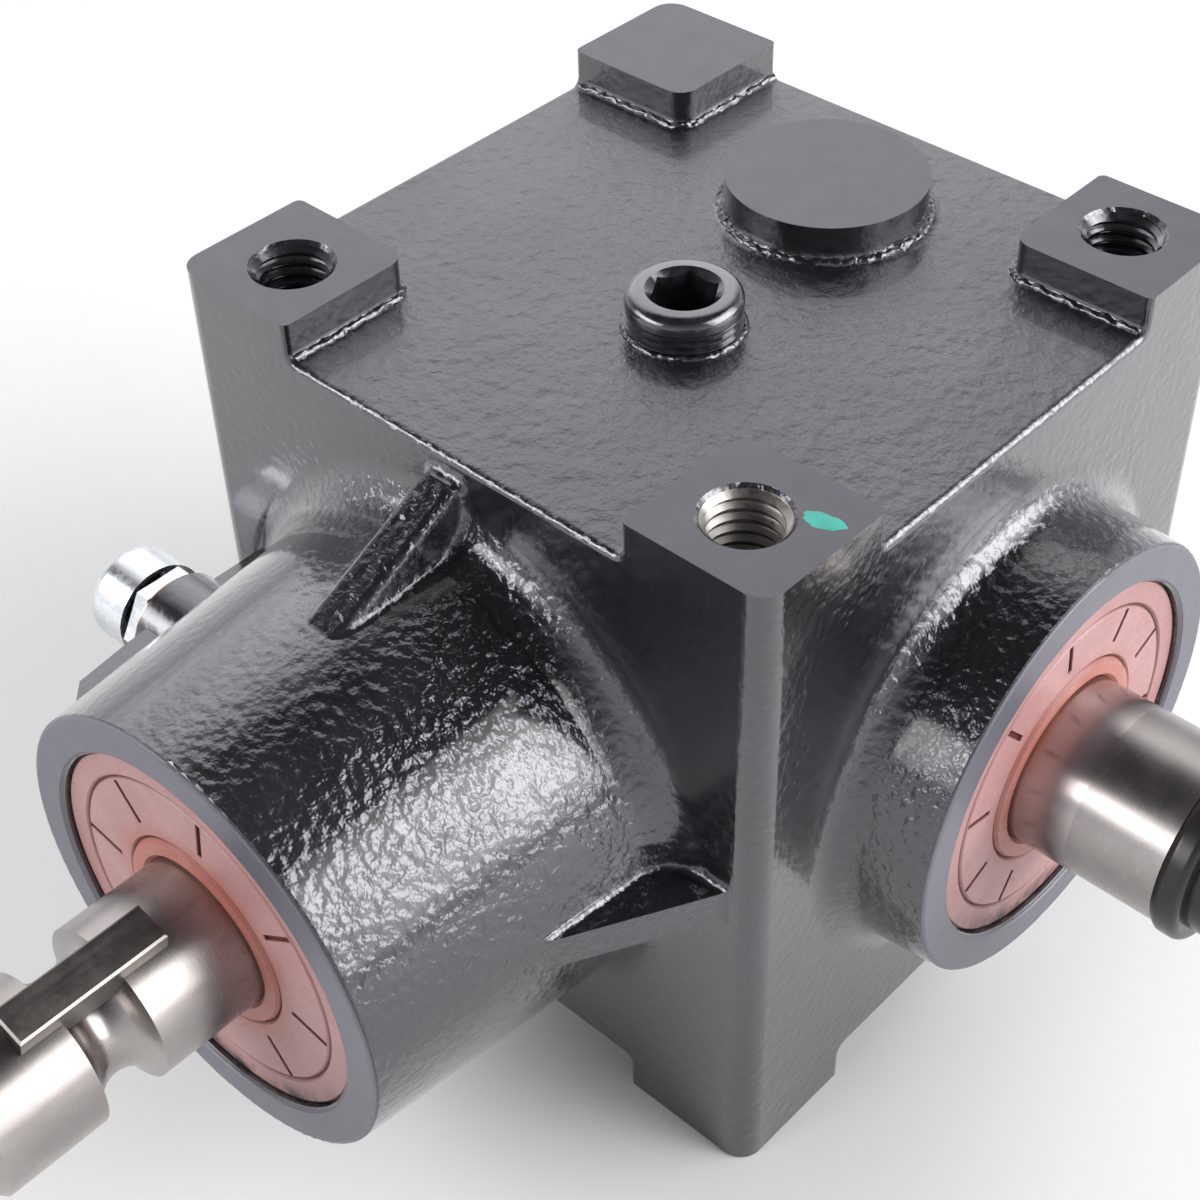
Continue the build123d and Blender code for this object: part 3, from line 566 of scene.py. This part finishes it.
class GearboxThreads(bpy.types.PropertyGroup):
    """Sizes of the threads, the filler plug and the root beads."""

    hole_major: bpy.props.FloatProperty(
        name="Hole thread radius", description="Outer radius of the tapped holes' thread", subtype="DISTANCE",
        unit="LENGTH", default=0.00630)
    hole_minor: bpy.props.FloatProperty(
        name="Hole crest radius", description="Inner radius of the tapped holes' thread", subtype="DISTANCE",
        unit="LENGTH", default=0.00537)
    hole_pitch: bpy.props.FloatProperty(
        name="Hole pitch", description="Distance between ridges, half-inch coarse", subtype="DISTANCE",
        unit="LENGTH", default=0.00195)
    hole_mouth: bpy.props.FloatProperty(
        name="Hole mouth radius", description="Countersink's radius at the pad", subtype="DISTANCE",
        unit="LENGTH", default=0.00688)
    plug_crest: bpy.props.FloatProperty(
        name="Plug thread radius", description="Outer radius of the filler plug's ridges", subtype="DISTANCE",
        unit="LENGTH", default=0.00915)
    plug_pitch: bpy.props.FloatProperty(
        name="Plug pitch", description="Distance between the filler plug's ridges", subtype="DISTANCE",
        unit="LENGTH", default=0.00125)
    plug_head: bpy.props.FloatProperty(
        name="Plug rim height", description="Plain height of the filler plug above its ridges",
        subtype="DISTANCE", unit="LENGTH", default=0.0027)
    plug_round: bpy.props.FloatProperty(
        name="Plug rim rounding", description="Rounding of the filler plug's rim", subtype="DISTANCE",
        unit="LENGTH", default=0.0019)
    plug_mouth: bpy.props.FloatProperty(
        name="Plug mouth radius", description="Countersink of the hexagon socket", subtype="DISTANCE",
        unit="LENGTH", default=0.0060)
    socket_flats: bpy.props.FloatProperty(
        name="Socket", description="Hexagon across flats", subtype="DISTANCE", unit="LENGTH", default=0.0095)
    socket_depth: bpy.props.FloatProperty(
        name="Socket depth", description="Depth of the hexagon", subtype="DISTANCE", unit="LENGTH",
        default=0.0115)
    bead: bpy.props.FloatProperty(
        name="Bead radius", description="Thickness of the beads at the roots", subtype="DISTANCE",
        unit="LENGTH", default=0.0009)


class GearboxStage(bpy.types.PropertyGroup):
    """Floor, camera and lights."""

    lens: bpy.props.FloatProperty(
        name="Lens", description="Camera lens in millimetres", default=64.884)
    azimuth: bpy.props.FloatProperty(
        name="Azimuth", description="Camera round the object, in degrees", default=43.841)
    elevation: bpy.props.FloatProperty(
        name="Elevation", description="Camera above the horizon, in degrees", default=42.291)
    roll: bpy.props.FloatProperty(
        name="Roll", description="Camera turned about its own line, in degrees", default=-1.620)
    camera: bpy.props.FloatVectorProperty(
        name="Camera place", description="Where the camera stands", subtype="XYZ", unit="LENGTH",
        default=(0.18101, -0.21475, 0.30683))
    floor_colour: bpy.props.FloatVectorProperty(
        name="Floor", description="Pale floor", subtype="COLOR", default=(0.86, 0.86, 0.86))
    floor_radius: bpy.props.FloatProperty(
        name="Floor radius", description="Reach of the floor", subtype="DISTANCE", unit="LENGTH",
        default=0.75)
    right_light: bpy.props.FloatProperty(
        name="Right softbox", description="Brightness at its middle", default=7.5)
    left_light: bpy.props.FloatProperty(
        name="Left softbox", description="Brightness at its middle", default=7.5)
    far_light: bpy.props.FloatProperty(
        name="Far softbox", description="Brightness at its middle", default=1.85)


def finishes():
    return bpy.context.scene.gearbox_finishes


# Operators
class GEARBOX_OT_finishes(bpy.types.Operator):
    """Give every solid its material"""

    bl_idname = "gearbox.finishes"
    bl_label = "Finish the solids"

    def execute(self, context):
        s = finishes()
        made = {
            "casting": casting_paint(s),
            "painted_plug": smooth_paint(s),
            "key_steel": key_steel(),
            "black_cap": soft_cap(),
        }
        for slot, (name, *look) in METALS.items():
            made[slot] = bright_metal(name, *look)
        special = {
            "input_shaft": ground_steel("input_shaft_steel", True, s),
            "output_shaft": ground_steel("output_shaft_steel", False, s),
            "input_seal": seal_rubber("input_seal_rubber", s, True),
            "output_seal": seal_rubber("output_seal_rubber", s, False),
        }
        for part in frame["record"]["subparts"]:
            finish = special.get(part["node"]) or made[part["material_slot"]]
            materials = nodes[part["node"]].data.materials
            if not len(materials):
                materials.append(finish.material)
            for index in range(len(materials)):
                materials[index] = finish.material
        return {"FINISHED"}


class GEARBOX_OT_tapped_holes(bpy.types.Operator):
    """Cut a real screw thread into each tapped hole"""

    bl_idname = "gearbox.tapped_holes"
    bl_label = "Thread the tapped holes"

    # Gaps at the sleeve's ends, wall behind the thread, and the countersink's fit and slope
    below_face = 0.0004
    above_floor = 0.0012
    wall = 0.0001
    sink_inset = 0.0002
    sink_slope = 0.9

    def execute(self, context):
        t = context.scene.gearbox_threads
        bright = bright_metal("cut_thread", (0.33, 0.31, 0.29), (0.48, 0.46, 0.43), 0.24, 0.40)
        painted = smooth_paint(finishes())
        painted.material.name = "painted_thread"
        length = BOLT_DEPTH - self.above_floor
        sleeve = cylinder(t.hole_major, -self.below_face, -length, 64)
        sink_end = t.hole_minor - self.sink_inset
        sink = cone(sink_end, t.hole_mouth, -(t.hole_mouth - sink_end) * self.sink_slope, 0.0, 64)
        screw = threaded_rod(t.hole_minor, t.hole_major - self.wall, t.hole_pitch, length + 2 * CLEAR)
        screw.location.z = CLEAR
        settle(screw)
        cut(sleeve, screw)
        cut(sleeve, sink)
        tops = [(BOLT_AT, -BOLT_AT, bright), (-BOLT_AT, -BOLT_AT, painted), (BOLT_AT, BOLT_AT, painted)]
        for number, (x, y, finish) in enumerate(tops, 1):
            twin = copied(sleeve)
            twin.location = (x, y, TOP)
            finish_piece(twin, f"top_thread_{number}", finish.material, "housing", 30)
        bottoms = [(x, y) for x in (-BOLT_AT, BOLT_AT) for y in (-BOLT_AT, BOLT_AT)]
        for number, (x, y) in enumerate(bottoms, 1):
            twin = copied(sleeve)
            twin.rotation_euler = (math.pi, 0, 0)
            twin.location = (x, y, 0)
            finish_piece(twin, f"bottom_thread_{number}", bright.material, "housing", 30)
        bpy.data.objects.remove(sleeve)
        return {"FINISHED"}


class GEARBOX_OT_filler_plug(bpy.types.Operator):
    """Make the filler plug with its rounded rim, thread ridges and hexagon socket"""

    bl_idname = "gearbox.filler_plug"
    bl_label = "Filler plug"

    # Core below the thread's root, countersink's slope and start, and the ridges' wall, overlap and number
    core_inset = 0.0003
    sink_slope = 0.8
    sink_above = 0.0008
    ring_wall = 0.0006
    ring_sunk = 0.0002
    ridges = 5

    def execute(self, context):
        t = context.scene.gearbox_threads
        low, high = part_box("fill_plug")
        plug = cylinder(PLUG_THREAD - self.core_inset, -t.plug_head / 2, low[2] - high[2])
        head = cylinder(t.plug_crest, 0, -t.plug_head)
        round_rim(head, t.plug_round)
        cut(plug, head, "UNION")
        cut(plug, cone(0.0, t.plug_mouth + CLEAR, -t.plug_mouth * self.sink_slope, self.sink_above))
        socket = cylinder(t.socket_flats / math.sqrt(3), CLEAR, -t.socket_depth, 6)
        socket.rotation_euler.z = math.radians(30)
        settle(socket)
        cut(plug, socket)
        inner = PLUG_THREAD - self.ring_wall
        ridges = ridged_ring(inner, PLUG_THREAD, t.plug_crest, t.plug_pitch, self.ridges)
        ridges.location.z = self.ring_sunk - t.plug_head
        settle(ridges)
        only(plug)
        ridges.select_set(True)
        bpy.ops.object.join()
        plug.location = (*PLUG_AT, high[2])
        finish_piece(plug, "filler_plug", bpy.data.materials["plug_paint"], "housing", 30)
        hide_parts("fill_plug")
        return {"FINISHED"}


class GEARBOX_OT_paint_beads(bpy.types.Operator):
    """Lay the lumpy beads that paint and cast metal leave round the pads, the disc and the plug"""

    bl_idname = "gearbox.paint_beads"
    bl_label = "Root beads"

    # Lumps' size and height against the bead's, edges left unsplit, and two beads against the setting
    lump_size = 0.0011
    lump_share = 1.1
    longest_edge = 0.0005
    disc_share = 1.25
    plug_share = 0.7

    def pad_foot(self, name, corner, thick):
        """Bead along the inner two sides of one pad's foot and round the corner between them."""
        deselect()
        bpy.ops.mesh.primitive_plane_add(size=2 * PAD_SIDE, location=(*corner, TOP_FACE))
        path = bpy.context.object
        settle(path)
        bpy.ops.object.mode_set(mode="EDIT")
        bpy.ops.mesh.select_mode(type="VERT")
        bpy.ops.mesh.select_all(action="SELECT")
        bpy.ops.mesh.bevel(offset=PAD_CORNER, segments=6, affect="VERTICES")
        bpy.ops.mesh.select_all(action="SELECT")
        bpy.ops.mesh.delete(type="ONLY_FACE")
        for axis in range(2):
            outward = [0.0, 0.0, 0.0]
            outward[axis] = math.copysign(1.0, corner[axis])
            edge = [abs(corner[0]) - BEAD_INSET, abs(corner[1]) - BEAD_INSET]
            place = [0.0, 0.0, 0.0]
            place[axis] = math.copysign(edge[axis], corner[axis])
            bpy.ops.mesh.select_all(action="SELECT")
            bpy.ops.mesh.bisect(plane_co=place, plane_no=outward, clear_outer=True)
        bpy.ops.object.mode_set(mode="OBJECT")
        bpy.ops.object.convert(target="CURVE")
        bead = bpy.context.object
        bead.data.bevel_depth = thick
        bead.data.bevel_resolution = 5
        bead.data.use_fill_caps = True
        bpy.ops.object.convert(target="MESH")
        bead = bpy.context.object
        bpy.ops.object.mode_set(mode="EDIT")
        bpy.ops.mesh.select_all(action="SELECT")
        bpy.ops.mesh.remove_doubles(threshold=MERGE)
        for _ in range(5):
            bpy.ops.mesh.select_all(action="DESELECT")
            bpy.ops.object.mode_set(mode="OBJECT")
            long_edges = 0
            for line in bead.data.edges:
                first, second = (bead.data.vertices[i].co for i in line.vertices)
                line.select = (first - second).length > self.longest_edge
                long_edges += line.select
            bpy.ops.object.mode_set(mode="EDIT")
            bpy.ops.mesh.select_mode(type="EDGE")
            if long_edges:
                bpy.ops.mesh.subdivide(number_cuts=1)
        bpy.ops.object.mode_set(mode="OBJECT")
        self.lumpy(bead, name, thick)

    def lumpy(self, bead, name, thick):
        """Push the bead's surface in and out, and finish it as a piece."""
        texture = bpy.data.textures.get("bead_lumps") or bpy.data.textures.new("bead_lumps", "CLOUDS")
        texture.noise_scale = self.lump_size
        modify(bead, "DISPLACE", texture=texture, strength=thick * self.lump_share, mid_level=0.5,
               texture_coords="GLOBAL")
        finish_piece(bead, name, bpy.data.materials["casting_paint"], "housing", 60)

    def ring(self, name, radius, thick, place):
        """Bead round a turned form."""
        deselect()
        bpy.ops.mesh.primitive_torus_add(major_segments=int(radius * 24000), minor_segments=16,
                                         major_radius=radius, minor_radius=thick, location=place)
        bead = bpy.context.object
        settle(bead)
        self.lumpy(bead, name, thick)

    def execute(self, context):
        t = context.scene.gearbox_threads
        self.ring("disc_bead", DISC_RADIUS, t.bead * self.disc_share, (0, DISC_Y, TOP_FACE))
        for number, (x, y) in enumerate(((1, -1), (-1, -1), (-1, 1), (1, 1)), 1):
            self.pad_foot(f"pad_bead_{number}", (x * HALF_X, y * HALF_Y), t.bead)
        self.ring("plug_bead", t.plug_crest, t.bead * self.plug_share, (*PLUG_AT, TOP_FACE))
        return {"FINISHED"}


class GEARBOX_OT_paint_dab(bpy.types.Operator):
    """Dab the teal marking paint on the near pad"""

    bl_idname = "gearbox.paint_dab"
    bl_label = "Dab of marking paint"

    # The outline's waves are given by height, count and shift
    half_length = 0.00305
    half_width = 0.00155
    thick = 0.00003
    tilt = math.radians(13)
    waves = ((0.07, 3, 0.6), (0.045, 7, 1.1), (0.02, 13, 0.0))

    def execute(self, context):
        deselect()
        bpy.ops.mesh.primitive_circle_add(vertices=72, radius=1, fill_type="TRIFAN", location=(0, 0, 0))
        dab = context.object
        bpy.ops.object.mode_set(mode="EDIT")
        bpy.ops.mesh.select_all(action="SELECT")
        bpy.ops.mesh.subdivide(number_cuts=3)
        bpy.ops.object.mode_set(mode="OBJECT")
        for vertex in dab.data.vertices:
            turn = math.atan2(vertex.co.y, vertex.co.x)
            out = vertex.co.xy.length
            wobble = 1 + sum(height * math.sin(turn * count + shift) for height, count, shift in self.waves)
            vertex.co.x *= wobble * self.half_length
            vertex.co.y *= wobble * self.half_width
            vertex.co.z = self.thick * (1 - out ** 4)
        modify(dab, "SOLIDIFY", thickness=self.thick, offset=-1)
        dab.rotation_euler = (0, 0, self.tilt)
        dab.location = (*context.scene.gearbox_dab, TOP + self.thick / 3)
        finish_piece(dab, "marking_dab", marking_paint(finishes()).material, "housing", 60)
        return {"FINISHED"}


class GEARBOX_OT_stage(bpy.types.Operator):
    """Set the floor, the soft lights and the camera"""

    bl_idname = "gearbox.stage"
    bl_label = "Stage"

    # Direction from the gearbox, distance, and width and height in metres
    softboxes = {
        "right": ((0.74, 0.42, 0.44), 0.85, (0.95, 0.80)),
        "left": ((-0.46, -0.78, 0.42), 0.85, (0.90, 0.36)),
        "far": ((-0.58, 0.48, 0.65), 1.00, (1.50, 1.05)),
    }
    # Position on the world's ramp from the horizon to overhead, and brightness there
    sky = ((0.0, 1.00), (0.30, 0.55), (0.55, 0.28), (0.80, 0.07), (1.0, 0.05))
    sky_tint = (0.985, 0.975, 1.03)
    below_feet = 0.0002

    def softbox(self, name, direction, distance, size, brightness):
        """Three nested panels, so that the light fades towards its edges."""
        away = Vector(direction).normalized()
        for layer, share in enumerate((1.0, 0.74, 0.5)):
            light = bpy.data.lights.new(f"{name}_{layer}", "AREA")
            light.shape = "RECTANGLE"
            light.size, light.size_y = (side * share for side in size)
            light.energy = brightness / 3 * math.pi * light.size * light.size_y
            lamp = bpy.data.objects.new(light.name, light)
            bpy.context.scene.collection.objects.link(lamp)
            lamp.location = Vector((0, 0, AXIS_HEIGHT)) + away * (distance - layer * 0.01)
            lamp.rotation_mode = "QUATERNION"
            lamp.rotation_quaternion = away.to_track_quat("Z", "Y")

    def execute(self, context):
        s = context.scene.gearbox_stage
        deselect()
        bpy.ops.mesh.primitive_circle_add(vertices=160, radius=s.floor_radius, fill_type="NGON",
                                          location=(0, 0, -self.below_feet))
        floor = context.object
        floor.name = "floor"
        f = Finish("floor_paper", roughness=0.9, specular_ior_level=0.1)
        cloud = f.noise(3, 2.0, 0.5)
        f.set(base_color=f.mix(cloud, s.floor_colour[:], tuple(c * 0.985 for c in s.floor_colour)))
        floor.data.materials.append(f.material)

        world = bpy.data.worlds.new("studio")
        context.scene.world = world
        world.use_nodes = True
        tree = world.node_tree
        tree.nodes.clear()
        place = tree.nodes.new("ShaderNodeTexCoord")
        split = tree.nodes.new("ShaderNodeSeparateXYZ")
        ramp = tree.nodes.new("ShaderNodeValToRGB")
        back = tree.nodes.new("ShaderNodeBackground")
        out = tree.nodes.new("ShaderNodeOutputWorld")
        tree.links.new(place.outputs["Generated"], split.inputs[0])
        tree.links.new(split.outputs[2], ramp.inputs[0])
        tree.links.new(ramp.outputs[0], back.inputs[0])
        tree.links.new(back.outputs[0], out.inputs[0])
        for _ in self.sky[2:]:
            ramp.color_ramp.elements.new(0.5)
        for element, (position, level) in zip(ramp.color_ramp.elements, self.sky):
            element.position = position
            element.color = (*(level * tint for tint in self.sky_tint), 1)
        back.inputs[1].default_value = 1.0

        for side, (direction, distance, size) in self.softboxes.items():
            self.softbox(f"{side}_softbox", direction, distance, size, getattr(s, f"{side}_light"))

        camera = bpy.data.cameras.new("camera")
        camera.lens = s.lens
        camera.sensor_width = 36.0
        camera.clip_start, camera.clip_end = 0.01, 50.0
        eye = bpy.data.objects.new("camera", camera)
        context.scene.collection.objects.link(eye)
        a, e, roll = (math.radians(v) for v in (s.azimuth, s.elevation, s.roll))
        backward = Vector((math.sin(a) * math.cos(e), -math.cos(a) * math.cos(e), math.sin(e)))
        right = (-backward).cross(Vector((0, 0, 1))).normalized()
        down = (-backward).cross(right)
        turned_right = right * math.cos(roll) - down * math.sin(roll)
        turned_down = right * math.sin(roll) + down * math.cos(roll)
        axes = Matrix((turned_right, -turned_down, backward)).transposed()
        eye.matrix_world = Matrix.Translation(Vector(s.camera)) @ axes.to_4x4()
        context.scene.camera = eye
        context.scene.view_settings.view_transform = "Standard"
        return {"FINISHED"}


class GEARBOX_PT_panel(bpy.types.Panel):
    """Sidebar panel with the gearbox's sizes, colours and operators"""

    bl_idname = "GEARBOX_PT_panel"
    bl_label = "Gearbox"
    bl_space_type = "VIEW_3D"
    bl_region_type = "UI"
    bl_category = "Gearbox"

    def draw(self, context):
        for name, group in (("gearbox_finishes", GearboxFinishes), ("gearbox_threads", GearboxThreads),
                            ("gearbox_stage", GearboxStage)):
            box = self.layout.box()
            for key in group.__annotations__:
                box.prop(getattr(context.scene, name), key)
        self.layout.prop(context.scene, "gearbox_dab")
        for operator in OPERATORS:
            self.layout.operator(operator.bl_idname)


GROUPS = (GearboxFinishes, GearboxThreads, GearboxStage)
OPERATORS = (GEARBOX_OT_finishes, GEARBOX_OT_tapped_holes, GEARBOX_OT_filler_plug, GEARBOX_OT_paint_beads,
             GEARBOX_OT_paint_dab, GEARBOX_OT_stage)


def register():
    for item in (*GROUPS, *OPERATORS, GEARBOX_PT_panel):
        bpy.utils.register_class(item)
    scene = bpy.types.Scene
    scene.gearbox_finishes = bpy.props.PointerProperty(type=GearboxFinishes)
    scene.gearbox_threads = bpy.props.PointerProperty(type=GearboxThreads)
    scene.gearbox_stage = bpy.props.PointerProperty(type=GearboxStage)
    scene.gearbox_dab = bpy.props.FloatVectorProperty(
        name="Dab", description="Where the marking paint lies on the top", size=2, unit="LENGTH",
        default=(0.05333, -0.03924))


def unregister():
    for item in reversed((*GROUPS, *OPERATORS, GEARBOX_PT_panel)):
        bpy.utils.unregister_class(item)
    for name in ("gearbox_finishes", "gearbox_threads", "gearbox_stage", "gearbox_dab"):
        delattr(bpy.types.Scene, name)


def main():
    register()
    bpy.ops.gearbox.finishes()
    bpy.ops.gearbox.tapped_holes()
    bpy.ops.gearbox.filler_plug()
    bpy.ops.gearbox.paint_beads()
    bpy.ops.gearbox.paint_dab()
    bpy.ops.gearbox.stage()


if __name__ == "__main__":
    main()
